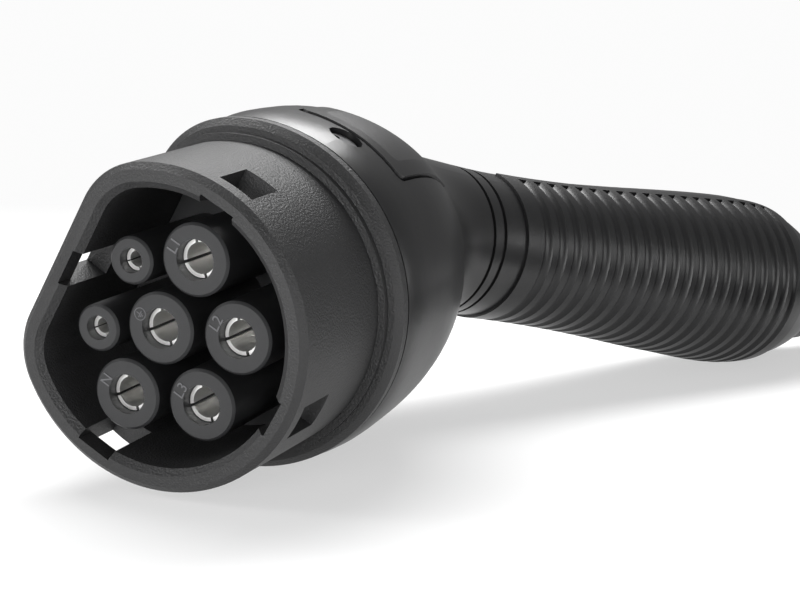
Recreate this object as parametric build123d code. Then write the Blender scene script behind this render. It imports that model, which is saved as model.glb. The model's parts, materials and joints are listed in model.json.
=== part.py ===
"""Hand-held vehicle-side charging connector with its cable.

The plug is drawn in its own plug frame and then laid down in the pose in which it rests.
Plug frame, in millimetres: X is the mating axis and points out of the mating face, Z points to the
flat side of the face, and the origin is the centre of the rim. The handle runs back along -X and
bends down towards -Z. Rest frame: Z up, the plug lies on its side on Z = 0, nose towards +X.
"""
from build123d import *
from math import asin, atan2, cos, degrees, hypot, pi, radians, sin, tan
import os

# ---------------------------------------------------------------- mating face
PIN_PITCH = 16.0  # between neighbouring power contacts
LOWER_ROW_DROP = 14.5  # from the earth contact down to L2 and L3
SIGNAL_ROW_RISE = 11.5  # from the earth contact up to the signal contacts
POWER_PIN_D = 6.0
SIGNAL_PIN_D = 3.0
PIN_CLEARANCE = 0.06  # radial, pin in socket
RIM_R = 32.0  # D outline of the shroud at the rim
RIM_FLAT = 25.1
RIM_CORNER_R = 15.0
SHROUD_WALL = 4.8
SHROUD_LENGTH = 33.0  # rim to the front of the flange
SHROUD_DRAFT = 1.0  # degrees
RIM_CHAMFER = 1.3
ROOT_STEP = 1.5  # bead where the shroud meets the flange
WINDOW_LENGTH = 10.2
WINDOW_WIDTH = 7.6
WINDOW_SETBACK = 4.4  # rim to window
CHANNEL_DEPTH = 1.6  # guide channel from the rim to each window

# ---------------------------------------------------------------- flange and spigot
FLANGE_R = 36.9
FLANGE_FLAT = 29.2
FLANGE_CORNER_R = 19.6
FLANGE_THICKNESS = 3.6
FLANGE_CHAMFER = 1.5
SEAM_GAP = 0.5
SPIGOT_GAP = 0.15
SPIGOT_WALL = 2.6
SPIGOT_LENGTH = 15.0
SEAL_WIDTH = 2.4
SEAL_DEPTH = 1.2

# ---------------------------------------------------------------- contacts and their carrier
COLLAR_SETBACK = 2.6  # rim to the front of the collars
POWER_COLLAR_D = 14.2
SIGNAL_COLLAR_D = 9.4
COLLAR_EDGE = 0.5
SOCKET_SETBACK = 2.4  # collar front to socket front
SOCKET_WALL = 0.75
SOCKET_FIT = 0.15  # radial, socket in its collar
SOCKET_DEPTH = 22.0
SLOT_SHARE = 0.1  # of the pin's diameter, the width of a slot
SLOT_LENGTH = 15.0
SHOULDER_RIM = 0.9
SHOULDER_LENGTH = 4.0
BARREL_LENGTH = 16.0
BARREL_DEPTH = 12.0
CARRIER_FLOOR = 5.0
CARRIER_FIT = 0.15
CARRIER_LIP = 1.6
RETAINER_THICKNESS = 3.4
RETAINER_SCREW_D = 3.0
RETAINER_SCREW_HEAD_D = 5.4
RETAINER_SCREW_HEAD_H = 2.0
RETAINER_SCREW_LENGTH = 6.5
RETAINER_SCREW_RADIUS = 22.5
RETAINER_SCREW_ANGLES = (46, 134, 270)

# ---------------------------------------------------------------- housing
HOUSING_WALL = 3.0
BEND_VERTEX = 78.0  # along the axis, from the seam to where the head and handle axes cross
BEND_ANGLE = 26.5
BEND_R = 90.0
# distance along the axis from the seam, radius of the section, share of the face's D form
STATIONS = (
    (0, 36.9, 1.0),
    (12, 37.6, 1.0),
    (26, 36.7, 0.8),
    (40, 33.6, 0.5),
    (55, 27.7, 0.2),
    (72, 22.3, 0.0),
    (88, 19.9, 0.0),
    (102, 19.1, 0.0),
    (120, 19.3, 0.0),
    (140, 20.2, 0.0),
    (162, 21.8, 0.0),
    (185, 23.7, 0.0),
    (207, 25.3, 0.0),
    (225, 25.6, 0.0),
    (239, 23.7, 0.0),
    (249, 20.5, 0.0),
    (255, 17.0, 0.0),
)
SECTION_POINTS = 20
D_POWER = 8  # how square the corners of a D section are
CAVITY_END = 226.0
NECK_GROOVES = (93.0, 98.5)
NECK_GROOVE_WIDTH = 1.3
NECK_GROOVE_DEPTH = 0.7

# ---------------------------------------------------------------- grip
GRIP_START = 107.0
GRIP_END = 233.0
GRIP_DEPTH = 1.4
GRIP_PROUD = 0.7
GRIP_TOP = 5.0  # height of the grip's upper edge over the handle axis
GRIP_MARGIN = 2.2
RIB_PITCH = 5.8
RIB_COUNT = 20
RIB_GROOVE_R = 2.0
RIB_GROOVE_DEPTH = 1.0

# ---------------------------------------------------------------- side cover and fixing screws
COVER_FRONT = 14.0  # along X, from the seam
COVER_LENGTH = 37.0
COVER_HALF_WIDTH = 13.2
COVER_GAP = 0.7
COVER_THICKNESS = 1.6
COVER_PROUD = 0.35
COVER_CORNER_R = 2.0
INLAY_MARGIN = 3.6
INLAY_THICKNESS = 0.7
FIXING_SCREW_BACK = 9.5  # along X, from the seam
FIXING_HEAD_D = 7.0
FIXING_HEAD_H = 1.9
FIXING_SHANK_D = 3.5
FIXING_SHANK_LENGTH = 5.0
FIXING_SINK = 1.0  # top of the head under the housing's surface
FIXING_RECESS_GAP = 0.3
SPANNER_HOLE_D = 1.3
SPANNER_HOLE_SPREAD = 3.4

# ---------------------------------------------------------------- cable and its entry
CABLE_D = 16.0
CORE_D = 4.4
CORE_CIRCLE_R = 4.7
ENTRY_FIT = 0.2
NUT_D = 33.0
NUT_LENGTH = 12.0
NUT_FLUTES = 16
NUT_FLUTE_R = 1.6
NUT_SPIGOT_D = 23.0
NUT_SPIGOT_LENGTH = 10.0
GLAND_SEAL_LENGTH = 7.0
CLAMP_LENGTH = 11.0
CLAMP_HEIGHT = 5.0
CLAMP_WIDTH = 28.0
CLAMP_SCREW_D = 3.0
CLAMP_SCREW_SPREAD = 21.5
BOOT_LENGTH = 46.0
BOOT_START_D = 26.0
BOOT_END_D = 19.5
BOOT_RINGS = 7
BOOT_RING_GAP = 2.2
BOOT_CORE_D = 18.6

CORE_PLACES = {"line_1": 18, "line_2": -54, "line_3": 234, "neutral": 162, "pilot": 90}  # degrees
CONDUCTOR_D = 3.2
SIGNAL_CORE_D = 2.6
SIGNAL_CONDUCTOR_D = 1.2
JACKET_START = 195.0  # along the axis, from the seam
CLAMP_AT = 209.0
RESISTOR_D = 4.2
RESISTOR_LENGTH = 9.0

# ---------------------------------------------------------------- lie of the cable on the floor
EXIT_RUN = 55.0  # past the end of the handle
BEND_RUN = 74.0
COIL_RUN = 118.0
CORD_HEADINGS = (112.0, 67.0)  # degrees, of the runs on the floor
ARC_SHARE = 0.45  # of the shorter run beside each turn
COIL_R = 90.0  # to the middle of its turns
COIL_ACROSS = 4  # turns beside each other
COIL_UP = 2  # turns on each other
COIL_CORNER_R = 7.9
COIL_LEAVE = 45.0  # between the cable's round end and the point where it would touch its turn
TIE_WIDTH = 8.0
TIE_THICKNESS = 1.4
TIE_HEAD = (14.0, 10.0, 3.0)
TIE_ANGLE = 215.0
TAIL_LENGTH = 95.0  # of jacket past the coil
TAIL_ANGLE = 60.0  # where it leaves the coil
STRIPPED_LENGTH = 55.0
FERRULE_LENGTH = 14.0
FERRULE_D = 3.6

REST_ROLL = 30.0  # about the mating axis: how far the flat side turns up from level
SMALL = 0.01


# ================================================================ frames and outlines
SEAM_X = -SHROUD_LENGTH - FLANGE_THICKNESS - SEAM_GAP


def across(x):
    """Plane square to the mating axis, with the section's x along Y and its y along Z."""
    return Plane(origin=(x, 0, 0), x_dir=(0, 1, 0), z_dir=(1, 0, 0))


def d_outline(radius, flat, corner):
    """Circle cut by a flat on its upper side, with round corners."""
    outline = Circle(radius) - Pos(0, flat + radius) * Rectangle(3 * radius, 2 * radius)
    return fillet(outline.vertices(), corner)


def d_block(x_back, x_front, radius, flat, corner, taper=0):
    return extrude(across(x_back) * d_outline(radius, flat, corner), x_front - x_back, taper=taper)


def rod(x_back, x_front, radius, y=0, z=0):
    return extrude(across(x_back) * Pos(y, z) * Circle(radius), x_front - x_back)


def axis_plane(s):
    """Plane square to the housing's axis at the distance s from the seam, normal towards the nose."""
    bend = radians(BEND_ANGLE)
    tangent = BEND_R * tan(bend / 2)
    arc_start = BEND_VERTEX - tangent
    arc_length = BEND_R * bend
    if s <= arc_start:
        turn = 0.0
        x, z = -s, 0.0
    elif s <= arc_start + arc_length:
        turn = (s - arc_start) / BEND_R
        x = -arc_start - BEND_R * sin(turn)
        z = -BEND_R * (1 - cos(turn))
    else:
        turn = bend
        past = s - arc_start - arc_length + tangent
        x = -BEND_VERTEX - past * cos(bend)
        z = -past * sin(bend)
    return Plane(origin=(SEAM_X + x, 0, z), x_dir=(0, 1, 0), z_dir=(cos(turn), 0, sin(turn)))


def section(radius, d_share):
    """Closed section of the housing, between a circle and a D."""
    flat = radius - d_share * (radius - radius * FLANGE_FLAT / FLANGE_R)
    points = []
    for k in range(SECTION_POINTS):
        angle = 2 * pi * k / SECTION_POINTS
        rise = max(sin(angle), 0.0)
        cut = (rise / flat) ** D_POWER if d_share else 0.0
        reach = (radius**-D_POWER + cut) ** (-1 / D_POWER)
        points.append((reach * cos(angle), reach * sin(angle)))
    return make_face(Spline(points, periodic=True))


def form(offset, start=0, end=len(STATIONS)):
    """The housing's outer form, grown by offset."""
    return loft([axis_plane(s) * section(r + offset, d) for s, r, d in STATIONS[start:end]])


def radius_at(s):
    """Radius of the housing at the distance s, straight between the stations."""
    for (s0, r0, _), (s1, r1, _) in zip(STATIONS, STATIONS[1:]):
        if s <= s1:
            return r0 + (r1 - r0) * (s - s0) / (s1 - s0)
    return STATIONS[-1][1]


def ring(s, major, minor):
    return axis_plane(s) * Torus(major, minor)


# ================================================================ contacts
POWER_PLACES = {
    "earth": (0, 0),
    "line_1": (PIN_PITCH, 0),
    "neutral": (-PIN_PITCH, 0),
    "line_2": (PIN_PITCH / 2, -LOWER_ROW_DROP),
    "line_3": (-PIN_PITCH / 2, -LOWER_ROW_DROP),
}
SIGNAL_PLACES = {
    "pilot": (PIN_PITCH / 2, SIGNAL_ROW_RISE),
    "proximity": (-PIN_PITCH / 2, SIGNAL_ROW_RISE),
}
COLLAR_X = -COLLAR_SETBACK
FLOOR_X = -SHROUD_LENGTH + ROOT_STEP
CARRIER_BACK_X = FLOOR_X - CARRIER_FLOOR
SOCKET_X = COLLAR_X - SOCKET_SETBACK
RETAINER_BACK_X = CARRIER_BACK_X - RETAINER_THICKNESS
BARREL_BACK_X = RETAINER_BACK_X - BARREL_LENGTH


def socket_radii(pin_d):
    bore = pin_d / 2 + PIN_CLEARANCE
    return bore, bore + SOCKET_WALL


def contact(pin_d, place, conductor_d):
    """Turned female contact: slotted socket, shoulder and crimp barrel."""
    bore, outer = socket_radii(pin_d)
    body = rod(CARRIER_BACK_X, SOCKET_X, outer)
    body += rod(CARRIER_BACK_X, CARRIER_BACK_X + SHOULDER_LENGTH, outer + SHOULDER_RIM)
    body += rod(BARREL_BACK_X, CARRIER_BACK_X, outer)
    body -= rod(SOCKET_X - SOCKET_DEPTH, SOCKET_X, bore)
    body -= rod(BARREL_BACK_X, BARREL_BACK_X + BARREL_DEPTH, conductor_d / 2)
    slot = Box(SLOT_LENGTH, SLOT_SHARE * pin_d, 4 * outer)
    for turn in (45, 135):
        body -= Pos(SOCKET_X - SLOT_LENGTH / 2, 0, 0) * Rot(X=turn) * slot
    return Pos(0, *place) * body


def contact_carrier():
    """Insulator: a floor with one collar for each contact."""
    inner_r = RIM_R - SHROUD_WALL - CARRIER_FIT
    inner_flat = RIM_FLAT - SHROUD_WALL - CARRIER_FIT
    corner = RIM_CORNER_R - SHROUD_WALL
    body = d_block(CARRIER_BACK_X, FLOOR_X, inner_r, inner_flat, corner)
    body += d_block(
        CARRIER_BACK_X, CARRIER_BACK_X + CARRIER_LIP, inner_r + CARRIER_LIP, inner_flat + CARRIER_LIP, corner
    )
    holes = []
    for pin_d, collar_d, places in (
        (POWER_PIN_D, POWER_COLLAR_D, POWER_PLACES),
        (SIGNAL_PIN_D, SIGNAL_COLLAR_D, SIGNAL_PLACES),
    ):
        _, outer = socket_radii(pin_d)
        for place in places.values():
            collar = rod(FLOOR_X - SMALL, COLLAR_X, collar_d / 2, *place)
            front = collar.faces().sort_by(Axis.X)[-1]
            body += chamfer(front.edges(), COLLAR_EDGE)
            holes.append(rod(CARRIER_BACK_X, COLLAR_X, outer + SOCKET_FIT, *place))
            shoulder_x = CARRIER_BACK_X + SHOULDER_LENGTH + SOCKET_FIT
            holes.append(rod(CARRIER_BACK_X, shoulder_x, outer + SHOULDER_RIM + SOCKET_FIT, *place))
    for y, z in retainer_screw_places():
        depth = RETAINER_SCREW_LENGTH - RETAINER_THICKNESS
        holes.append(rod(CARRIER_BACK_X, CARRIER_BACK_X + depth, RETAINER_SCREW_D / 2, y, z))
    return body - holes


def retainer_screw_places():
    return [
        (RETAINER_SCREW_RADIUS * cos(radians(a)), RETAINER_SCREW_RADIUS * sin(radians(a)))
        for a in RETAINER_SCREW_ANGLES
    ]


def contact_retainer():
    """Plate screwed behind the carrier: it traps the shoulders of the contacts."""
    inner_r = RIM_R - SHROUD_WALL - CARRIER_FIT
    inner_flat = RIM_FLAT - SHROUD_WALL - CARRIER_FIT
    corner = RIM_CORNER_R - SHROUD_WALL
    body = d_block(RETAINER_BACK_X, CARRIER_BACK_X, inner_r, inner_flat, corner)
    for pin_d, places in ((POWER_PIN_D, POWER_PLACES), (SIGNAL_PIN_D, SIGNAL_PLACES)):
        _, outer = socket_radii(pin_d)
        for place in places.values():
            body -= rod(RETAINER_BACK_X, CARRIER_BACK_X, outer + SOCKET_FIT, *place)
    for y, z in retainer_screw_places():
        body -= rod(RETAINER_BACK_X, CARRIER_BACK_X, RETAINER_SCREW_D / 2, y, z)
    return body


def retainer_screws():
    screws = []
    for y, z in retainer_screw_places():
        head_x = RETAINER_BACK_X - RETAINER_SCREW_HEAD_H
        screw = rod(head_x, RETAINER_BACK_X, RETAINER_SCREW_HEAD_D / 2, y, z)
        screw += rod(RETAINER_BACK_X, RETAINER_BACK_X + RETAINER_SCREW_LENGTH - SMALL, RETAINER_SCREW_D / 2, y, z)
        screw -= Pos(head_x, y, z) * Box(1.6, 0.8, 4.2)
        screws.append(screw)
    return Compound(children=screws)


# ================================================================ shroud
SPIGOT_R = FLANGE_R - HOUSING_WALL - SPIGOT_GAP
SPIGOT_FLAT = FLANGE_FLAT - HOUSING_WALL - SPIGOT_GAP
SPIGOT_CORNER = FLANGE_CORNER_R - HOUSING_WALL
SPIGOT_BACK_X = SEAM_X - SPIGOT_LENGTH
SEAL_X = SEAM_X - 3.5


def side_windows():
    """A box at each of the four sides of the shroud, where the lock bolt of an inlet may enter."""
    length, width = WINDOW_LENGTH, WINDOW_WIDTH
    centre_x = -WINDOW_SETBACK - length / 2
    block = Pos(centre_x, 0, RIM_R) * Box(length, width, 2 * (RIM_R - RIM_FLAT + SHROUD_WALL + 3))
    return [Rot(X=turn) * block for turn in (0, 90, 180, 270)]


def guide_channels():
    """Shallow channels inside the wall, from the rim past each window."""
    length = WINDOW_SETBACK + WINDOW_LENGTH
    top = Pos(-length / 2, 0, RIM_FLAT - SHROUD_WALL) * Box(length, WINDOW_WIDTH, 2 * CHANNEL_DEPTH)
    side = Pos(-length / 2, 0, RIM_R - SHROUD_WALL) * Box(length, WINDOW_WIDTH, 2 * CHANNEL_DEPTH)
    return [top] + [Rot(X=turn) * side for turn in (90, 180, 270)]


def shroud():
    """Moulded front piece: D sleeve with windows, flange and the spigot inside the housing."""
    grow = SHROUD_LENGTH * tan(radians(SHROUD_DRAFT))
    sleeve = d_block(-SHROUD_LENGTH, 0, RIM_R + grow, RIM_FLAT + grow, RIM_CORNER_R + grow, SHROUD_DRAFT)
    sleeve = chamfer(sleeve.faces().sort_by(Axis.X)[-1].edges(), RIM_CHAMFER)
    step_r = RIM_R + grow + ROOT_STEP
    step = d_block(
        -SHROUD_LENGTH, -SHROUD_LENGTH + ROOT_STEP, step_r, RIM_FLAT + grow + ROOT_STEP, RIM_CORNER_R + grow
    )
    flange_back = -SHROUD_LENGTH - FLANGE_THICKNESS
    flange = d_block(flange_back, -SHROUD_LENGTH, FLANGE_R, FLANGE_FLAT, FLANGE_CORNER_R)
    flange = chamfer(flange.faces().sort_by(Axis.X)[-1].edges(), FLANGE_CHAMFER)
    spigot = d_block(SPIGOT_BACK_X, flange_back, SPIGOT_R, SPIGOT_FLAT, SPIGOT_CORNER)
    body = sleeve + step + flange + spigot
    inner_r, inner_flat = RIM_R - SHROUD_WALL, RIM_FLAT - SHROUD_WALL
    inner_corner = RIM_CORNER_R - SHROUD_WALL
    body -= d_block(SPIGOT_BACK_X, 0, inner_r, inner_flat, inner_corner)
    lip = CARRIER_LIP + CARRIER_FIT
    lip_front = CARRIER_BACK_X + CARRIER_LIP + CARRIER_FIT
    body -= d_block(SPIGOT_BACK_X, lip_front, inner_r + lip, inner_flat + lip, inner_corner)
    hollow_r, hollow_flat = SPIGOT_R - SPIGOT_WALL, SPIGOT_FLAT - SPIGOT_WALL
    body -= d_block(SPIGOT_BACK_X, CARRIER_BACK_X, hollow_r, hollow_flat, SPIGOT_CORNER - SPIGOT_WALL)
    body -= seal_blank(SEAL_DEPTH)
    rim_bevel = d_block(-RIM_CHAMFER, 0, inner_r, inner_flat, inner_corner, -45)
    body -= rim_bevel
    body -= side_windows() + guide_channels()
    for side in (-1, 1):
        depth = FIXING_SINK + FIXING_HEAD_H + FIXING_SHANK_LENGTH
        body -= fixing_axis(side) * Cylinder(FIXING_SHANK_D / 2, 2 * depth)
    return body


def seal_blank(depth):
    """Band of the given depth in the outside of the spigot."""
    outer = d_block(SEAL_X - SEAL_WIDTH, SEAL_X, SPIGOT_R, SPIGOT_FLAT, SPIGOT_CORNER)
    inner = d_block(
        SEAL_X - SEAL_WIDTH, SEAL_X, SPIGOT_R - depth, SPIGOT_FLAT - depth, SPIGOT_CORNER - depth
    )
    return outer - inner


# ================================================================ housing, cover, grip
def fixing_axis(side):
    """Place of a fixing screw on the +Y or -Y side; its Z points out of the housing."""
    place = Pos(SEAM_X - FIXING_SCREW_BACK, side * radius_at(FIXING_SCREW_BACK), 0)
    return place * Rot(X=-90 * side)


def fixing_screws():
    """Two pin-drive screws that hold the shroud in the housing."""
    screws = []
    for side in (-1, 1):
        head = Pos(0, 0, -FIXING_SINK - FIXING_HEAD_H / 2) * Cylinder(FIXING_HEAD_D / 2, FIXING_HEAD_H)
        head = chamfer(head.faces().sort_by(Axis.Z)[-1].edges(), 0.4)
        shank_top = -FIXING_SINK - FIXING_HEAD_H
        head += Pos(0, 0, shank_top - FIXING_SHANK_LENGTH / 2) * Cylinder(FIXING_SHANK_D / 2, FIXING_SHANK_LENGTH)
        for end in (-1, 1):
            hole = Cylinder(SPANNER_HOLE_D / 2, 2 * 1.2)
            head -= Pos(0, end * SPANNER_HOLE_SPREAD / 2, -FIXING_SINK) * hole
        screws.append(fixing_axis(side) * head)
    return screws


def cover_outline(shrink, corner):
    """Block through the +Y side of the head, seen from the side as the cover's outline."""
    length = COVER_LENGTH - 2 * shrink
    width = 2 * (COVER_HALF_WIDTH - shrink)
    centre_x = SEAM_X - COVER_FRONT - COVER_LENGTH / 2
    outline = RectangleRounded(length, width, corner)
    return Pos(centre_x, 0, 0) * Rot(X=90) * extrude(outline, -2 * FLANGE_R)


def grip_region(margin):
    """Block round the underside of the handle, between the two ends of the grip."""
    length = GRIP_END - GRIP_START - 2 * margin
    middle = axis_plane((GRIP_START + GRIP_END) / 2)
    depth = 4 * max(r for _, r, _ in STATIONS)
    block = Box(depth, depth, length)
    return middle * Pos(0, GRIP_TOP - margin - depth / 2, 0) * block


def grip_blank():
    handle_from = 6
    skin = form(GRIP_PROUD, handle_from) - form(-GRIP_DEPTH, handle_from)
    return skin & grip_region(0)


def grip(blank):
    """Soft pad let into the underside of the handle, with a row of finger ribs."""
    first = (GRIP_START + GRIP_END - (RIB_COUNT - 1) * RIB_PITCH) / 2
    region = grip_region(GRIP_MARGIN)
    for k in range(RIB_COUNT):
        s = first + k * RIB_PITCH
        major = radius_at(s) + GRIP_PROUD + RIB_GROOVE_R - RIB_GROOVE_DEPTH
        blank -= ring(s, major, RIB_GROOVE_R) & region
    return blank


def housing(outer, cover_pocket, pad):
    """Moulded shell of head and handle."""
    cavity_stations = [(s, r, d) for s, r, d in STATIONS if 0 < s <= CAVITY_END]
    cavity = loft([axis_plane(s) * section(r - HOUSING_WALL, d) for s, r, d in cavity_stations])
    mouth = d_block(
        SPIGOT_BACK_X - SEAM_GAP, SEAM_X + 1, SPIGOT_R + SPIGOT_GAP, SPIGOT_FLAT + SPIGOT_GAP, SPIGOT_CORNER
    )
    body = outer - cavity - mouth - cover_pocket - pad
    band = form(2, 3, 12) - form(-NECK_GROOVE_DEPTH, 3, 12)
    for s in NECK_GROOVES:
        body -= band & axis_plane(s) * Cylinder(2 * FLANGE_R, NECK_GROOVE_WIDTH)
    for side in (-1, 1):
        recess_depth = FIXING_SINK + FIXING_HEAD_H
        head_r = FIXING_HEAD_D / 2 + FIXING_RECESS_GAP
        body -= fixing_axis(side) * Pos(0, 0, -recess_depth / 2 + 2) * Cylinder(head_r, recess_depth + 4)
        body -= fixing_axis(side) * Cylinder(FIXING_SHANK_D / 2 + FIXING_RECESS_GAP, 4 * HOUSING_WALL)
    entry_depth = NUT_SPIGOT_LENGTH + GLAND_SEAL_LENGTH + ENTRY_FIT
    entry = END_PLANE * Pos(0, 0, entry_depth / 2) * Cylinder(NUT_SPIGOT_D / 2 + ENTRY_FIT, entry_depth)
    way_in = END_PLANE * Cylinder(CABLE_D / 2 + ENTRY_FIT, 80)
    return body - entry - way_in


# ================================================================ cable entry
END_S = STATIONS[-1][0]
END_PLANE = axis_plane(END_S)


def gland_nut():
    """Fluted clamping nut at the end of the handle, with its spigot inside."""
    body = Pos(0, 0, -NUT_LENGTH / 2) * Cylinder(NUT_D / 2, NUT_LENGTH)
    body = fillet(body.faces().sort_by(Axis.Z)[0].edges(), 2.5)
    body += Pos(0, 0, NUT_SPIGOT_LENGTH / 2) * Cylinder(NUT_SPIGOT_D / 2, NUT_SPIGOT_LENGTH)
    for k in range(NUT_FLUTES):
        flute = Pos(NUT_D / 2 + NUT_FLUTE_R * 0.55, 0, -NUT_LENGTH / 2 + 1.5) * Cylinder(NUT_FLUTE_R, NUT_LENGTH - 5)
        body -= Rot(Z=360 * k / NUT_FLUTES) * flute
    bore = Cylinder(BOOT_CORE_D / 2 + ENTRY_FIT, 4 * NUT_LENGTH)
    return END_PLANE * Pos(0, 0, -0.3) * (body - bore)




# ================================================================ inside the handle
def cable_entry_parts():
    """Seal under the gland nut, and the two-screw clamp that holds the jacket."""
    seal_plane = axis_plane(END_S - NUT_SPIGOT_LENGTH)
    seal = Cylinder(NUT_SPIGOT_D / 2, GLAND_SEAL_LENGTH) - Cylinder(CABLE_D / 2, 2 * GLAND_SEAL_LENGTH)
    seal = seal_plane * Pos(0, 0, GLAND_SEAL_LENGTH / 2 + ENTRY_FIT) * seal
    bar = Pos(0, 0.3 + CLAMP_HEIGHT / 2, 0) * Box(CLAMP_WIDTH, CLAMP_HEIGHT, CLAMP_LENGTH)
    arch = Cylinder(CABLE_D / 2 + 3.0, CLAMP_LENGTH) & Pos(0, 20.3, 0) * Box(60, 40, 60)
    bar = bar + arch - Cylinder(CABLE_D / 2, 2 * CLAMP_LENGTH)
    screws = []
    for side in (-1, 1):
        place = Pos(side * CLAMP_SCREW_SPREAD / 2, 0.3 + CLAMP_HEIGHT, 0) * Rot(X=-90)
        bar -= place * Cylinder(CLAMP_SCREW_D / 2, 40)
        bar -= place * Pos(0, 0, 5) * Cylinder(2.9, 10)
        head = Pos(0, 0, 1.1) * Cylinder(2.6, 2.2) - Pos(0, 0, 2.2) * Box(3.8, 0.8, 1.6)
        screws.append(head + Pos(0, 0, -6) * Cylinder(CLAMP_SCREW_D / 2, 12))
        screws[-1] = axis_plane(CLAMP_AT) * place * screws[-1]
    return seal, axis_plane(CLAMP_AT) * bar, screws


def clamp_boss():
    """Block on the floor of the handle under the clamp, with a saddle for the jacket."""
    block = Pos(0, -14.3, 0) * Box(CLAMP_WIDTH, 28, CLAMP_LENGTH) - Cylinder(CABLE_D / 2, 2 * CLAMP_LENGTH)
    for side in (-1, 1):
        place = Pos(side * CLAMP_SCREW_SPREAD / 2, 0.3 + CLAMP_HEIGHT, 0) * Rot(X=-90)
        block -= place * Pos(0, 0, -6) * Cylinder(CLAMP_SCREW_D / 2, 12)
    inside = axis_plane(CLAMP_AT) * Cylinder(radius_at(CLAMP_AT) - HOUSING_WALL + 0.5, 3 * CLAMP_LENGTH)
    return axis_plane(CLAMP_AT) * block & inside


def core_run(place, angle, core_d, conductor_d):
    """One core inside the plug, from the jacket's end to the crimp barrel of its contact."""
    circle = 0 if angle is None else CORE_CIRCLE_R
    turn = radians(angle or 0)
    goal = (circle * cos(turn), circle * sin(turn))
    start = axis_plane(JACKET_START)
    first = -BARREL_BACK_X + SEAM_X + 3
    points = [Vector(BARREL_BACK_X, *place), Vector(BARREL_BACK_X - 3, *place)]
    stops = 5
    for k in range(1, stops + 1):
        share = k / stops
        s = first + (JACKET_START - first) * share
        mix = share * share * (3 - 2 * share)
        local = [p + (g - p) * mix for p, g in zip(place, goal)]
        points.append(axis_plane(s).from_local_coords(Vector(*local, 0)))
    path = Spline(points, tangents=[Vector(-1, 0, 0), -start.z_dir])
    core = sweep(across(BARREL_BACK_X) * Pos(*place) * Circle(core_d / 2), path)
    strand = rod(BARREL_BACK_X - SMALL, BARREL_BACK_X + BARREL_DEPTH - 1, conductor_d / 2, *place)
    return core + strand


def coding_resistor():
    """Coding resistor on the back of the proximity contact, its lead in the barrel."""
    place = SIGNAL_PLACES["proximity"]
    body = rod(BARREL_BACK_X - RESISTOR_LENGTH, BARREL_BACK_X, RESISTOR_D / 2, *place)
    return body + rod(BARREL_BACK_X, BARREL_BACK_X + BARREL_DEPTH - 1, SIGNAL_CONDUCTOR_D / 2, *place)


# ================================================================ rest pose
def rest_turn():
    """Turn that lets the rim of the flange and the thick end of the handle touch one level floor."""
    flange_x = -SHROUD_LENGTH - FLANGE_CHAMFER
    droop = sin(radians(REST_ROLL))
    pitch = 0.0
    for s, r, _ in STATIONS[8:]:
        centre = axis_plane(s).origin
        reach, rise = flange_x - centre.X, centre.Z * droop + FLANGE_R
        pitch = max(pitch, asin((r + GRIP_PROUD) / hypot(reach, rise)) - atan2(rise, reach))
    lift = flange_x * sin(pitch) + FLANGE_R * cos(pitch)
    return Pos(0, 0, lift) * Rot(Y=degrees(pitch)) * Rot(X=90 - REST_ROLL)


# ================================================================ cable on the floor
def cord_points(at_rest):
    """Corners of the cable's route, from its end in the handle to the middle of its way round the coil."""
    start = (at_rest * axis_plane(JACKET_START).location).position
    end = (at_rest * END_PLANE.location).position
    along = (end - start).normalized()
    first = end + along * EXIT_RUN
    level = CABLE_D / 2
    points = [start, first]
    for heading, run in zip(CORD_HEADINGS, (BEND_RUN, COIL_RUN - COIL_LEAVE)):
        last = points[-1]
        x = last.X + run * cos(radians(heading))
        y = last.Y + run * sin(radians(heading))
        points.append(Vector(x, y, level))
    return points


def cord_radii(points):
    radii = []
    for a, b, c in zip(points, points[1:], points[2:]):
        half_turn = (b - a).get_angle(c - b) / 2
        shorter = min((b - a).length, (c - b).length)
        radii.append(ARC_SHARE * shorter / tan(radians(half_turn)))
    return radii


def coil_centre(points):
    """The last run of the cable is tangent to the outermost turn of the coil at its end."""
    heading = radians(CORD_HEADINGS[-1])
    outer = COIL_R + (COIL_ACROSS - 1) / 2 * CABLE_D
    end = points[-1] + Vector(cos(heading), sin(heading), 0) * COIL_LEAVE
    return Vector(end.X + outer * sin(heading), end.Y - outer * cos(heading), 0)


def coil_section(shrink):
    width, height = COIL_ACROSS * CABLE_D - 2 * shrink, COIL_UP * CABLE_D - 2 * shrink
    outline = RectangleRounded(width, height, COIL_CORNER_R - shrink)
    return Plane.XZ * Pos(COIL_R, COIL_UP * CABLE_D / 2) * outline


def coil_and_tie(centre):
    coil = revolve(coil_section(0), Axis.Z)
    slice_box = Rot(Z=TIE_ANGLE) * Pos(COIL_R, 0, 20) * Box(90, TIE_WIDTH, 90)
    core = revolve(coil_section(TIE_THICKNESS), Axis.Z)
    tie = (coil - core) & slice_box
    coil -= slice_box - core
    head = Pos(COIL_R + 8, 0, COIL_UP * CABLE_D + TIE_HEAD[2] / 2) * Box(*TIE_HEAD)
    tie += Rot(Z=TIE_ANGLE) * head
    return Pos(centre) * coil, Pos(centre) * tie


def tail_plane(centre, run):
    """Plane across the far end of the cable, run past the point where it leaves the coil."""
    outer = COIL_R + (COIL_ACROSS - 1) / 2 * CABLE_D
    turn = radians(TAIL_ANGLE)
    leave = Vector(centre.X + outer * cos(turn), centre.Y + outer * sin(turn), (COIL_UP - 0.5) * CABLE_D)
    along = Vector(sin(turn), -cos(turn), 0)
    return Plane(origin=leave + along * run, x_dir=(cos(turn), sin(turn), 0), z_dir=along)


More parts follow.
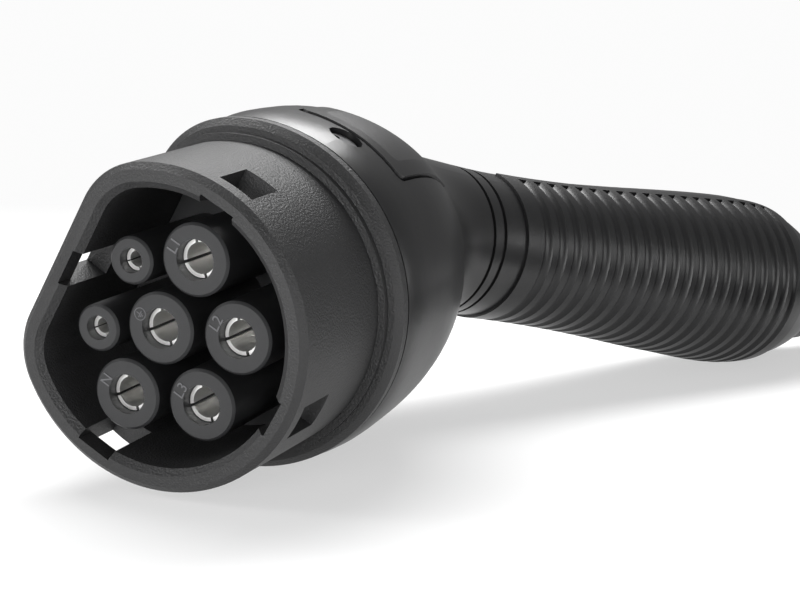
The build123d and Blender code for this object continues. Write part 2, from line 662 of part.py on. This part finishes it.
def open_end(centre):
    """Cores and wire-end sleeves at the stripped end of the cable."""
    start = tail_plane(centre, TAIL_LENGTH)
    cores, sleeves = {}, []
    for name, angle, core_d, bare_d in core_list():
        turn = radians(angle or 0)
        reach = 0 if angle is None else CORE_CIRCLE_R
        place = start * Pos(reach * cos(turn), reach * sin(turn), 0)
        cores[name] = place * extrude(Circle(core_d / 2), STRIPPED_LENGTH)
        sleeve_d = bare_d + FERRULE_D - CONDUCTOR_D
        sleeves.append(place * Pos(0, 0, STRIPPED_LENGTH) * extrude(Circle(sleeve_d / 2), FERRULE_LENGTH))
    return cores, sleeves


def core_list():
    rows = [(name, a, CORE_D, CONDUCTOR_D) for name, a in CORE_PLACES.items() if name != "pilot"]
    rows.append(("pilot", CORE_PLACES["pilot"], SIGNAL_CORE_D, SIGNAL_CONDUCTOR_D))
    rows.append(("earth", None, CORE_D, CONDUCTOR_D))
    return rows


def cable_parts(at_rest):
    points = cord_points(at_rest)
    radii = cord_radii(points)
    print("cord points, m:", [tuple(round(v / 1000, 6) for v in p) for p in points])
    print("cord radii:", [round(r, 1) for r in radii])
    route = FilletPolyline(*points, radius=radii)
    start = Plane(origin=points[0], z_dir=points[1] - points[0])
    tube = sweep(start * Circle(CABLE_D / 2), route)
    print("tube volume over section times length:", tube.volume / (pi * CABLE_D**2 / 4 * route.length))
    centre = coil_centre(points)
    print("coil centre, m:", centre * 0.001, "lead length:", route.length)
    coil, tie = coil_and_tie(centre)
    tail = tail_plane(centre, COIL_LEAVE) * extrude(Circle(CABLE_D / 2), TAIL_LENGTH - COIL_LEAVE)
    boot = bend_boot(route, tube)
    cores, sleeves = open_end(centre)
    nodes = {
        "cable": tube - coil - tie,
        "cable_coil": coil,
        "cable_tie": tie,
        "cable_tail": tail - coil,
        "bend_boot": boot,
        "wire_end_sleeves": Compound(children=sleeves),
    }
    nodes.update({f"end_core_{name}": core for name, core in cores.items()})
    return nodes


def bend_boot(route, tube):
    """Tapered rubber boot with rings, bent with the cable."""
    nut_back = END_S - JACKET_START + NUT_LENGTH + 0.3
    stops = 7
    body = None
    sections = []
    for k in range(stops + 1):
        share = k / stops
        radius = (BOOT_START_D + (BOOT_END_D - BOOT_START_D) * share) / 2
        sections.append(route_plane(route, nut_back + BOOT_LENGTH * share) * Circle(radius))
    body = loft(sections)
    sleeve = route_plane(route, nut_back - NUT_LENGTH) * extrude(Circle(BOOT_CORE_D / 2), NUT_LENGTH + 1)
    body += sleeve
    for k in range(BOOT_RINGS):
        share = (k + 0.9) / (BOOT_RINGS + 0.8)
        radius = (BOOT_START_D + (BOOT_END_D - BOOT_START_D) * share) / 2
        body -= route_plane(route, nut_back + BOOT_LENGTH * share) * Torus(radius + 0.4, BOOT_RING_GAP / 2)
    return body - tube


def route_plane(route, distance):
    share = distance / route.length
    return Plane(origin=route.position_at(share), z_dir=route.tangent_at(share))


# ================================================================ everything in place
def side_cover(pocket_outline):
    """Cover over the wiring screws on the +Y side, with a bare pad for a label."""
    skin = form(COVER_PROUD, 0, 8) - form(-COVER_THICKNESS, 0, 8)
    cover = skin & cover_outline(0, COVER_CORNER_R)
    pad_skin = form(COVER_PROUD + 1, 0, 8) - form(COVER_PROUD - INLAY_THICKNESS, 0, 8)
    pad_region = cover_outline(INLAY_MARGIN, COVER_CORNER_R)
    inlay = (form(COVER_PROUD, 0, 8) - form(COVER_PROUD - INLAY_THICKNESS, 0, 8)) & pad_region
    return cover - (pad_skin & pad_region), inlay


def plug_parts():
    outer = form(0)
    pocket = (form(4, 0, 8) - form(-COVER_THICKNESS, 0, 8)) & cover_outline(-COVER_GAP, COVER_CORNER_R)
    blank = grip_blank()
    seal, bar, clamp_screws = cable_entry_parts()
    cover, inlay = side_cover(pocket)
    nodes = {
        "shroud": shroud(),
        "contact_carrier": contact_carrier(),
        "contact_retainer": contact_retainer(),
        "retainer_screws": retainer_screws(),
        "housing_seal": seal_blank(SEAL_DEPTH),
        "housing": housing(outer, pocket, blank) + clamp_boss(),
        "side_cover": cover,
        "cover_inlay": inlay,
        "fixing_screws": Compound(children=fixing_screws()),
        "grip": grip(blank),
        "gland_nut": gland_nut(),
        "gland_seal": seal,
        "cable_clamp": bar,
        "clamp_screws": Compound(children=clamp_screws),
        "coding_resistor": coding_resistor(),
    }
    for name, place in POWER_PLACES.items():
        nodes[f"contact_{name}"] = contact(POWER_PIN_D, place, CONDUCTOR_D)
    for name, place in SIGNAL_PLACES.items():
        nodes[f"contact_{name}"] = contact(SIGNAL_PIN_D, place, SIGNAL_CONDUCTOR_D)
    places = dict(POWER_PLACES, **SIGNAL_PLACES)
    for name, angle, core_d, bare_d in core_list():
        nodes[f"core_{name}"] = core_run(places[name], angle, core_d, bare_d)
    return nodes


def main():
    os.makedirs("parts", exist_ok=True)
    plug = plug_parts()
    turn = rest_turn()
    box = Compound(children=[turn * plug[n] for n in ("shroud", "housing", "grip", "gland_nut")]).bounding_box()
    middle = box.center()
    at_rest = Pos(-middle.X, -middle.Y, -box.min.Z) * turn
    print("box:", box.size, "lowest:", box.min.Z)
    print("rest place:", at_rest.position, at_rest.orientation)
    nodes = {name: at_rest * shape for name, shape in plug.items()}
    nodes.update(cable_parts(at_rest))
    for name, shape in nodes.items():
        if len(shape.solids()) > 1:
            shape = Compound(children=shape.solids())
        if not shape.is_valid:
            print("not valid:", name)
        shape.label = name
        export_step(shape, f"parts/{name}.step")
    print(len(nodes), "nodes")


main()
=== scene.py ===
# %% [markdown]
# # Hand-held vehicle charging connector: looks
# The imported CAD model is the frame. This script adds the camera, the cable as a real curve, procedural
# materials, the small marks on the collars and a soft pale studio. All lengths are in metres.

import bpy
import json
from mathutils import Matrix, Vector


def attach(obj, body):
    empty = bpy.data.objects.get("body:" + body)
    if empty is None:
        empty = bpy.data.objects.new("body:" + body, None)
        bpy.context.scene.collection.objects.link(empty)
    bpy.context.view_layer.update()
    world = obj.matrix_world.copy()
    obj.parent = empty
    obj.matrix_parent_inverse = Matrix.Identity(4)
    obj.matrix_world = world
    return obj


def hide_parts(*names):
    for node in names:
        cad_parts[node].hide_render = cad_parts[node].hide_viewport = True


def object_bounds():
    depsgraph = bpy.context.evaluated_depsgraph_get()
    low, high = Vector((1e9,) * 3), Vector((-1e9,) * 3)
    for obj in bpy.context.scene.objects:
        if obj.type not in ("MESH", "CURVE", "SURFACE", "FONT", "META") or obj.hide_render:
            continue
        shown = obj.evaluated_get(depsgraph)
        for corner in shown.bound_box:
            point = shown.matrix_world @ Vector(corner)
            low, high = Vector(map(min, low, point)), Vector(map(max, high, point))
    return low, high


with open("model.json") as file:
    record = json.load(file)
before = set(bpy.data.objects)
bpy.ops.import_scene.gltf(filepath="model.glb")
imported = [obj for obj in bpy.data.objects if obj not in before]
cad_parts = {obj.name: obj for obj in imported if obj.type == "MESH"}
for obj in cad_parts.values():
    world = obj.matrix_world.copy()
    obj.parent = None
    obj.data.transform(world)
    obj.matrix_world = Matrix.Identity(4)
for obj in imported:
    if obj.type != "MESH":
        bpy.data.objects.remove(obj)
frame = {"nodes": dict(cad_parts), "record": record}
cad_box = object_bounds()
print("nodes:", len(frame["nodes"]), "box:", [[round(v, 3) for v in p] for p in cad_box])

# %% Imports
import json
from math import cos, pi, radians, sin

import bpy
from mathutils import Matrix, Vector

scene = bpy.context.scene
scene.view_settings.view_transform = "Standard"

# %% [markdown]
# ## Camera
# A camera can be aimed by turning it by hand or by naming its directions. Here its place and the
# directions that run right and down across its view are given, and the third follows from those two.
# The plug's own frame has its origin in the middle of the rim, X out of the mating face and Z towards
# the flat side, so a mark can be placed on the face in the plug's own millimetres.

# %% Camera
CAMERA_AT = Vector((0.406447, 0.131667, 0.078406))
RIGHT = Vector((-0.386697, 0.921244, 0.042136))
DOWN = Vector((0.097124, 0.086120, -0.991539))
FORWARD = RIGHT.cross(DOWN)
LENS = 72.85
SENSOR_WIDTH = 36
CLIP_START = 0.01

camera_data = bpy.data.cameras.new("camera")
camera_data.lens = LENS
camera_data.sensor_width = SENSOR_WIDTH
camera_data.clip_start = CLIP_START
camera = bpy.data.objects.new("camera", camera_data)
scene.collection.objects.link(camera)
turn = Matrix((RIGHT, -DOWN, -FORWARD)).transposed().to_4x4()
camera.matrix_world = Matrix.Translation(CAMERA_AT) @ turn
scene.camera = camera

PLUG_ORIGIN = Vector((0.145376, -0.026389, 0.033092))
MM = 0.001
ROLL = radians(30)  # how far the flat side turns up from level
DIP = radians(6.0377)  # how far the nose points down
LEVEL = Vector((0, 1, 0))
UPRIGHT = Vector((sin(DIP), 0, cos(DIP)))
PLUG_X = Vector((cos(DIP), 0, -sin(DIP)))
PLUG_Y = LEVEL * sin(ROLL) + UPRIGHT * cos(ROLL)
PLUG_Z = UPRIGHT * sin(ROLL) - LEVEL * cos(ROLL)


def in_plug(x, y, z):
    """Point of the row frame from millimetres in the plug's own frame."""
    return PLUG_ORIGIN + (PLUG_X * x + PLUG_Y * y + PLUG_Z * z) * MM


print("camera at", [round(v, 3) for v in CAMERA_AT])

# %% [markdown]
# ## Cable
# A charging cable is round and stiff, and keeps one thickness all the way. A swept mesh could follow the
# route, but a curve with a round bevel stays smooth with few points, so it is a curve. One line
# of control points makes the lead out of the handle, the turns of the coil and the short end that leads to
# the stripped cores. The coil starts at the bottom outside, goes inwards, climbs, and comes back outwards.

# %% Cable route
CABLE_D = 0.016
LOW = CABLE_D / 2  # height of the cable's middle in the lower layer
HIGH = LOW + CABLE_D
LEAD = [
    (-0.07665, 0.019115, 0.030157),
    (-0.181695, 0.063553, 0.015469),
    (-0.209416, 0.132164, LOW),
    (-0.180893, 0.199361, LOW),
]
COIL_CENTRE = Vector((-0.058372, 0.196241, 0))
START_ANGLE = radians(157)
END_ANGLE = radians(60)
TURN_RADII = (0.114, 0.098, 0.082, 0.066)
ACROSS = len(TURN_RADII)
LAST_TURN = 2 * ACROSS - 1
MIDDLE_RADIUS = 0.090
# Degrees of a turn between which the cable steps inwards, climbs to the upper layer, or steps outwards.
INWARD = (290, 345)
CLIMB = (318, 352)
OUTWARD = (262, 312)
TAIL_LENGTH = 0.095
TAIL_SHARES = (0.3, 1.0)
STEPS = 24
# Control points lie a little outside the circle that their curve follows.
STEP_GAIN = 1 / cos(pi / STEPS)


def heading(angle):
    """Level direction at an angle from X."""
    return Vector((cos(angle), sin(angle), 0))


def ease(value, start, end):
    """Smooth rise from 0 at the start to 1 at the end."""
    share = min(max((value - start) / (end - start), 0.0), 1.0)
    return share * share * (3 - 2 * share)


def coil_spot(turns):
    """Radius and height of the cable's middle after so many turns."""
    whole = min(int(turns), LAST_TURN)
    part = (turns - whole) * 360
    if whole == ACROSS - 1:
        return TURN_RADII[whole], LOW + CABLE_D * ease(part, *CLIMB)
    if whole < ACROSS:
        here, there = TURN_RADII[whole], TURN_RADII[whole + 1]
        return here + (there - here) * ease(part, *INWARD), LOW
    here = TURN_RADII[LAST_TURN - whole]
    there = TURN_RADII[max(LAST_TURN - 1 - whole, 0)]
    return here + (there - here) * ease(part, *OUTWARD), HIGH


def coil_point(turns):
    """Control point of the coil after so many turns."""
    radius, height = coil_spot(turns)
    across = heading(START_ANGLE - turns * 2 * pi) * radius * STEP_GAIN
    return COIL_CENTRE + across + Vector((0, 0, height))


TOTAL_TURNS = LAST_TURN + (START_ANGLE - END_ANGLE) / (2 * pi)
count = round(TOTAL_TURNS * STEPS)
coil = [coil_point(TOTAL_TURNS * (k + 0.5) / count) for k in range(count)]
leave = COIL_CENTRE + heading(END_ANGLE) * TURN_RADII[0] + Vector((0, 0, HIGH))
tail_way = Vector((sin(END_ANGLE), -cos(END_ANGLE), 0))
arrive = COIL_CENTRE + heading(START_ANGLE) * TURN_RADII[0] + Vector((0, 0, LOW))
route = [Vector(p) for p in LEAD[:-1]] + [(Vector(LEAD[-1]) + arrive) / 2, arrive] + coil
route += [leave + tail_way * TAIL_LENGTH * share for share in TAIL_SHARES]
print("route points:", len(route))


# %% Cable curve
CURVE_ORDER = 3
CURVE_STEPS = 6


def curve_piece(name, points, radius):
    """Round cord through control points. Each point scales a bevel of one metre, so its box is right."""
    data = bpy.data.curves.new(name, "CURVE")
    data.dimensions = "3D"
    spline = data.splines.new("NURBS")
    spline.points.add(len(points) - 1)
    for point, place in zip(spline.points, points):
        point.co = (*place, 1)
        point.radius = radius
    spline.order_u = CURVE_ORDER
    spline.use_endpoint_u = True
    spline.resolution_u = CURVE_STEPS
    data.bevel_depth = 1.0
    data.bevel_resolution = CURVE_STEPS
    data.use_fill_caps = True
    piece = bpy.data.objects.new(name, data)
    scene.collection.objects.link(piece)
    return piece


cable = curve_piece("charging_cable", route, CABLE_D / 2)
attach(cable, "root")
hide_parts("cable", "cable_coil", "cable_tail")


# %% [markdown]
# ## Tie
# A nylon strap holds the put-away cable together. It could be a bevelled curve, but its flat section and
# rounded corners are simpler as one closed band: an outline round all turns, given a width and a thickness.

# %% Tie round the coil
TIE_WIDTH = 0.009
TIE_THICK = 0.0013
TIE_HALF = 0.0327  # half the strap's reach across the turns
TIE_TOP = 0.0327
TIE_CORNER = 0.0075
TIE_ANGLE = radians(215)
CORNER_STEPS = 8


def tie_band():
    """Closed strap round all turns."""
    side_x, top_z = TIE_HALF - TIE_CORNER, TIE_TOP - TIE_CORNER
    corners = (
        (side_x, top_z, 0),
        (-side_x, top_z, 90),
        (-side_x, TIE_CORNER, 180),
        (side_x, TIE_CORNER, 270),
    )
    outline = []
    for cx, cz, start in corners:
        for step in range(CORNER_STEPS + 1):
            angle = radians(start + step * 90 / CORNER_STEPS)
            nx, nz = cos(angle), sin(angle)
            outline.append((cx + TIE_CORNER * nx, cz + TIE_CORNER * nz, nx, nz))
    radial = heading(TIE_ANGLE)
    along = Vector((-sin(TIE_ANGLE), cos(TIE_ANGLE), 0))
    middle = COIL_CENTRE + radial * MIDDLE_RADIUS
    verts, faces = [], []
    for side in (-1, 1):
        for inset in (0.0, TIE_THICK):
            for x, z, nx, nz in outline:
                place = middle + radial * (x - nx * inset) + along * side * TIE_WIDTH / 2
                verts.append(place + Vector((0, 0, z - nz * inset)))
    n = len(outline)
    for k in range(n):
        j = (k + 1) % n
        a, b, c, d = 0, n, 2 * n, 3 * n
        faces += [(a + k, a + j, b + j, b + k), (c + k, d + k, d + j, c + j)]
        faces += [(a + k, c + k, c + j, a + j), (b + k, b + j, d + j, d + k)]
    mesh = bpy.data.meshes.new("cable_strap")
    mesh.from_pydata(verts, [], faces)
    mesh.update()
    piece = bpy.data.objects.new("cable_strap", mesh)
    scene.collection.objects.link(piece)
    return piece


strap = tie_band()
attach(strap, "root")
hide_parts("cable_tie")

on_cord = [strap]
on_cord += [
    node
    for name, node in frame["nodes"].items()
    if name.startswith("end_core") or name in ("bend_boot", "wire_end_sleeves")
]
print("cable and strap made")

# %% [markdown]
# ## Materials
# Moulded plastic, rubber and plated metal differ in grain, gloss and evenness more than in colour. Each
# could have its own node tree, but one maker with a few values keeps them alike and easy to compare. A slow
# noise changes tone and gloss, a fine one raises the grain, and wear lightens the edges where it is given.


# %% Material maker
SLOW_SCALE, SLOW_DETAIL = 45, 6
FINE_DETAIL = 3
GLOSS_SWING = 0.06  # how far roughness goes to either side
LEAST_ROUGH = 0.02
RELIEF_STRENGTH = 0.9
WEAR_START, WEAR_FULL = 0.53, 0.64  # pointiness between which an edge shows wear
WEAR_GAIN, WEAR_LIFT = 2.2, 0.02


def finish_material(
    name, colour, rough, grain=0.0003, bump=0.00003, vary=0.25, wear=0.0, metal=0.0, specular=0.5, sheen=0.0
):
    """Procedural finish: grain size and bump depth are in metres."""
    material = bpy.data.materials.new(name)
    material.use_nodes = True
    nodes, links = material.node_tree.nodes, material.node_tree.links
    shader = nodes["Principled BSDF"]
    shader.inputs["Metallic"].default_value = metal
    shader.inputs["Specular IOR Level"].default_value = specular
    shader.inputs["Sheen Weight"].default_value = sheen
    place = nodes.new("ShaderNodeTexCoord")
    slow = nodes.new("ShaderNodeTexNoise")
    slow.inputs["Scale"].default_value = SLOW_SCALE
    slow.inputs["Detail"].default_value = SLOW_DETAIL
    fine = nodes.new("ShaderNodeTexNoise")
    fine.inputs["Scale"].default_value = 1 / grain
    fine.inputs["Detail"].default_value = FINE_DETAIL
    for noise in (slow, fine):
        links.new(place.outputs["Object"], noise.inputs["Vector"])
    tone = nodes.new("ShaderNodeMix")
    tone.data_type = "RGBA"
    tone.inputs[6].default_value = (*[c * (1 - vary) for c in colour], 1)
    tone.inputs[7].default_value = (*[min(c * (1 + vary), 1) for c in colour], 1)
    links.new(slow.outputs["Fac"], tone.inputs[0])
    top = tone.outputs[2]
    if wear:
        edge = nodes.new("ShaderNodeNewGeometry")
        ramp = nodes.new("ShaderNodeValToRGB")
        ramp.color_ramp.elements[0].position = WEAR_START
        ramp.color_ramp.elements[1].position = WEAR_FULL
        worn = nodes.new("ShaderNodeMix")
        worn.data_type = "RGBA"
        worn.inputs[7].default_value = (*[min(c * WEAR_GAIN + WEAR_LIFT, 1) for c in colour], 1)
        scale = nodes.new("ShaderNodeMath")
        scale.operation = "MULTIPLY"
        scale.inputs[1].default_value = wear
        links.new(edge.outputs["Pointiness"], ramp.inputs[0])
        links.new(ramp.outputs[0], scale.inputs[0])
        links.new(scale.outputs[0], worn.inputs[0])
        links.new(top, worn.inputs[6])
        top = worn.outputs[2]
    links.new(top, shader.inputs["Base Color"])
    shine = nodes.new("ShaderNodeMapRange")
    shine.inputs["To Min"].default_value = max(rough - GLOSS_SWING, LEAST_ROUGH)
    shine.inputs["To Max"].default_value = min(rough + GLOSS_SWING, 1.0)
    links.new(slow.outputs["Fac"], shine.inputs["Value"])
    links.new(shine.outputs[0], shader.inputs["Roughness"])
    relief = nodes.new("ShaderNodeBump")
    relief.inputs["Distance"].default_value = bump
    relief.inputs["Strength"].default_value = RELIEF_STRENGTH
    links.new(fine.outputs["Fac"], relief.inputs["Height"])
    links.new(relief.outputs["Normal"], shader.inputs["Normal"])
    return material


# %% Materials of the slots
FINISHES = {
    "textured_black": dict(
        colour=(0.014, 0.014, 0.0145), rough=0.50, grain=0.00045, bump=0.00022, vary=0.12, wear=0.35,
        specular=0.45,
    ),
    "satin_black": dict(
        colour=(0.010, 0.010, 0.0105), rough=0.34, grain=0.0004, bump=0.000012, vary=0.10, wear=0.2,
        specular=0.45,
    ),
    "soft_black": dict(
        colour=(0.009, 0.009, 0.0095), rough=0.40, grain=0.0005, bump=0.00003, vary=0.15, wear=0.1,
        specular=0.4,
    ),
    "label_pad": dict(colour=(0.016, 0.016, 0.0165), rough=0.42, grain=0.0004, bump=0.00002, vary=0.08),
    "boot_rubber": dict(
        colour=(0.018, 0.018, 0.019), rough=0.55, grain=0.0005, bump=0.00005, vary=0.2, wear=0.2,
        sheen=0.05,
    ),
    "cable_jacket": dict(colour=(0.018, 0.018, 0.019), rough=0.50, grain=0.0006, bump=0.00004, vary=0.2),
    "tie_nylon": dict(
        colour=(0.03, 0.03, 0.032), rough=0.8, grain=0.0007, bump=0.0003, vary=0.3, sheen=0.3,
    ),
    "seal_rubber": dict(colour=(0.02, 0.02, 0.02), rough=0.6),
    "collar_grey": dict(
        colour=(0.013, 0.0132, 0.014), rough=0.44, grain=0.0004, bump=0.00003, vary=0.12, wear=0.4,
        specular=0.4,
    ),
    "inner_plastic": dict(colour=(0.09, 0.09, 0.095), rough=0.5),
    "silver_plate": dict(
        colour=(0.90, 0.895, 0.88), rough=0.42, grain=0.0003, bump=0.00001, vary=0.05, metal=1.0,
    ),
    "screw_steel": dict(
        colour=(0.03, 0.03, 0.032), rough=0.4, grain=0.0003, bump=0.00002, vary=0.2, wear=0.3,
        metal=0.6,
    ),
    "resistor_body": dict(colour=(0.35, 0.42, 0.5), rough=0.3),
    "tinned_copper": dict(
        colour=(0.72, 0.71, 0.69), rough=0.3, grain=0.0003, bump=0.00002, vary=0.15, metal=1.0,
    ),
    "core_green_yellow": dict(colour=(0.45, 0.6, 0.08), rough=0.35, vary=0.1),
    "core_brown": dict(colour=(0.2, 0.07, 0.03), rough=0.35, vary=0.1),
    "core_black": dict(colour=(0.02, 0.02, 0.02), rough=0.35, vary=0.1),
    "core_grey": dict(colour=(0.35, 0.35, 0.36), rough=0.35, vary=0.1),
    "core_blue": dict(colour=(0.03, 0.12, 0.45), rough=0.35, vary=0.1),
    "core_signal": dict(colour=(0.75, 0.3, 0.04), rough=0.35, vary=0.1),
}
LOOKS = {name: finish_material(name, **finish) for name, finish in FINISHES.items()}


def dress(piece, look):
    """Give a piece one finish and no other."""
    piece.data.materials.clear()
    piece.data.materials.append(LOOKS[look])


for part in frame["record"]["subparts"]:
    dress(frame["nodes"][part["node"]], part["material_slot"])
dress(cable, "cable_jacket")
dress(strap, "tie_nylon")
print("materials:", len(LOOKS))

# %% [markdown]
# ## Marks on the collars
# Moulded marks in low relief beside each power contact tell the wires apart. A bump could only shade them,
# so the letters are extruded text made into meshes, and the earth sign is four low bars in a ring.

# %% Collar marks
COLLAR_FACE = -2.6
MARK_UP = 4.95
MARK_HEIGHT = 0.0031
MARK_DEPTH = 0.00012
PIN_PITCH = 16
ROW_DROP = 14.5


def mark_frame(y, z):
    """Frame of a mark on the collars, from its place in the plug's own millimetres."""
    place = in_plug(COLLAR_FACE, y, z)
    return Matrix.Translation(place) @ Matrix((PLUG_Y, PLUG_Z, PLUG_X)).transposed().to_4x4()


def finish_mark(piece):
    """A mark rides on the plug, painted a paler grey: a painted highlight for the light that catches its
    raised edges.
    """
    scene.collection.objects.link(piece)
    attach(piece, "root")
    # Painted highlight: the whole mark takes the paler inner plastic grey in place of the light on its raised
    # edges.
    dress(piece, "inner_plastic")


def mark(name, text, y, z):
    """Letters in low relief."""
    data = bpy.data.curves.new(name, "FONT")
    data.body = text
    data.size = MARK_HEIGHT
    data.align_x = "CENTER"
    data.align_y = "CENTER"
    data.extrude = MARK_DEPTH
    made = bpy.data.objects.new(name, data)
    scene.collection.objects.link(made)
    bpy.context.view_layer.update()
    mesh = bpy.data.meshes.new_from_object(made)
    bpy.data.objects.remove(made)
    mesh.transform(mark_frame(y, z))
    finish_mark(bpy.data.objects.new(name, mesh))


MARKS = (
    ("mark_line_1", "L1", PIN_PITCH, MARK_UP),
    ("mark_neutral", "N", -PIN_PITCH, MARK_UP),
    ("mark_line_2", "L2", PIN_PITCH / 2, MARK_UP - ROW_DROP),
    ("mark_line_3", "L3", -PIN_PITCH / 2, MARK_UP - ROW_DROP),
)
for values in MARKS:
    mark(*values)

BAR_CORNERS = ((-1, -1), (1, -1), (1, 1), (-1, 1))
BAR_FACES = ((0, 3, 2, 1), (4, 5, 6, 7), (0, 1, 5, 4), (1, 2, 6, 5), (2, 3, 7, 6), (3, 0, 4, 7))


def strips_mesh(name, strips, y, z):
    """Low bars of the given middle, half width and half height, in the plane of a mark."""
    verts, faces = [], []
    for cx, cy, w, h in strips:
        base = len(verts)
        for dz in (-MARK_DEPTH, MARK_DEPTH):
            for sx, sy in BAR_CORNERS:
                verts.append((cx + sx * w, cy + sy * h, dz))
        faces += [tuple(base + k for k in quad) for quad in BAR_FACES]
    mesh = bpy.data.meshes.new(name)
    mesh.from_pydata(verts, [], faces)
    mesh.transform(mark_frame(y, z))
    return mesh


LINE = 0.00009  # half the thickness of a bar
bars = [
    (0, 0.0004, LINE, 0.00045),
    (0, 0, 0.0007, LINE),
    (0, -0.00032, 0.00045, LINE),
    (0, -0.00062, 0.0002, LINE),
]
finish_mark(bpy.data.objects.new("mark_earth", strips_mesh("mark_earth", bars, 0, MARK_UP)))

RING_STEPS = 48
RING_RADIUS = 0.0012
RING_WIRE = 0.0001
ring_points = []
for k in range(RING_STEPS + 1):
    ring_points.append(mark_frame(0, MARK_UP) @ (heading(2 * pi * k / RING_STEPS) * RING_RADIUS))
circle = curve_piece("mark_earth_ring", ring_points, RING_WIRE)
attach(circle, "root")
# Painted highlight: the ring takes the same paler grey in place of the light on its raised edge.
dress(circle, "inner_plastic")
print("marks:", len(MARKS) + 1)

# %% [markdown]
# ## Studio
# A product shot wants a pale, even ground with no horizon. The floor's own colour does that near the plug,
# and further out it fades into an even glow. That glow lights the plug a little from below as well. A long
# soft light hangs over the plug, and three weaker ones to the left, in front and to the right draw its edges.

# %% Floor and background
FLOOR_SIZE = 6
FLOOR_GREY = 0.93
FLOOR_ROUGH = 0.9
GROUND_GLOW = 0.97  # strength of the floor's glow and of the background that the camera sees
ROOM_GLOW = 0.22  # strength of the world for every other ray
FADE_START, FADE_END, FADE_LEAST = 0.25, 0.7, 0.55
bpy.ops.mesh.primitive_plane_add(size=FLOOR_SIZE, location=(0, 0, cad_box[0][2]))
floor = bpy.context.object
floor.name = "floor"
floor_look = bpy.data.materials.new("floor")
floor_look.use_nodes = True
tree = floor_look.node_tree
near = tree.nodes["Principled BSDF"]
near.inputs["Base Color"].default_value = (FLOOR_GREY, FLOOR_GREY, FLOOR_GREY, 1)
near.inputs["Roughness"].default_value = FLOOR_ROUGH
far = tree.nodes.new("ShaderNodeEmission")
far.inputs["Strength"].default_value = GROUND_GLOW
spot = tree.nodes.new("ShaderNodeTexCoord")
reach = tree.nodes.new("ShaderNodeVectorMath")
reach.operation = "LENGTH"
fade = tree.nodes.new("ShaderNodeMapRange")
fade.inputs["From Min"].default_value = FADE_START
fade.inputs["From Max"].default_value = FADE_END
fade.inputs["To Min"].default_value = FADE_LEAST
fade_mix = tree.nodes.new("ShaderNodeMixShader")
for start, end in (
    (spot.outputs["Object"], reach.inputs[0]),
    (reach.outputs["Value"], fade.inputs["Value"]),
    (fade.outputs[0], fade_mix.inputs[0]),
    (near.outputs[0], fade_mix.inputs[1]),
    (far.outputs[0], fade_mix.inputs[2]),
    (fade_mix.outputs[0], tree.nodes["Material Output"].inputs["Surface"]),
):
    tree.links.new(start, end)
floor.data.materials.append(floor_look)

world = bpy.data.worlds.new("studio")
scene.world = world
world.use_nodes = True
sky = world.node_tree.nodes["Background"]
rays = world.node_tree.nodes.new("ShaderNodeLightPath")
shade = world.node_tree.nodes.new("ShaderNodeMix")
shade.data_type = "FLOAT"
shade.inputs[2].default_value = ROOM_GLOW
shade.inputs[3].default_value = GROUND_GLOW
world.node_tree.links.new(rays.outputs["Is Camera Ray"], shade.inputs[0])
world.node_tree.links.new(shade.outputs[0], sky.inputs["Strength"])
sky.inputs["Color"].default_value = (1, 1, 1, 1)


# %% Lights
def soft_light(name, place, aim, size, power, size_y):
    """Rectangular lamp at a place, aimed at a point. Sizes are in metres and power is in watts."""
    data = bpy.data.lights.new(name, "AREA")
    data.energy = power
    data.size = size
    data.shape = "RECTANGLE"
    data.size_y = size_y
    lamp = bpy.data.objects.new(name, data)
    lamp.location = place
    lamp.rotation_euler = (Vector(aim) - Vector(place)).to_track_quat("-Z", "Y").to_euler()
    scene.collection.objects.link(lamp)


soft_light("top", (-0.25, -0.25, 0.75), (-0.02, 0, 0.03), 0.9, 13.0, 0.35)
soft_light("left", (0.55, -0.75, 0.30), (0.1, 0, 0.03), 0.30, 3.5, 0.7)
soft_light("face", (0.75, 0.06, 0.04), (0.14, 0, 0.04), 0.30, 5.0, 0.30)
soft_light("right", (0.0, 0.75, 0.12), (-0.05, 0, 0.03), 0.7, 2.0, 0.12)
print("lights set")

# %% Update the scene
bpy.context.view_layer.update()
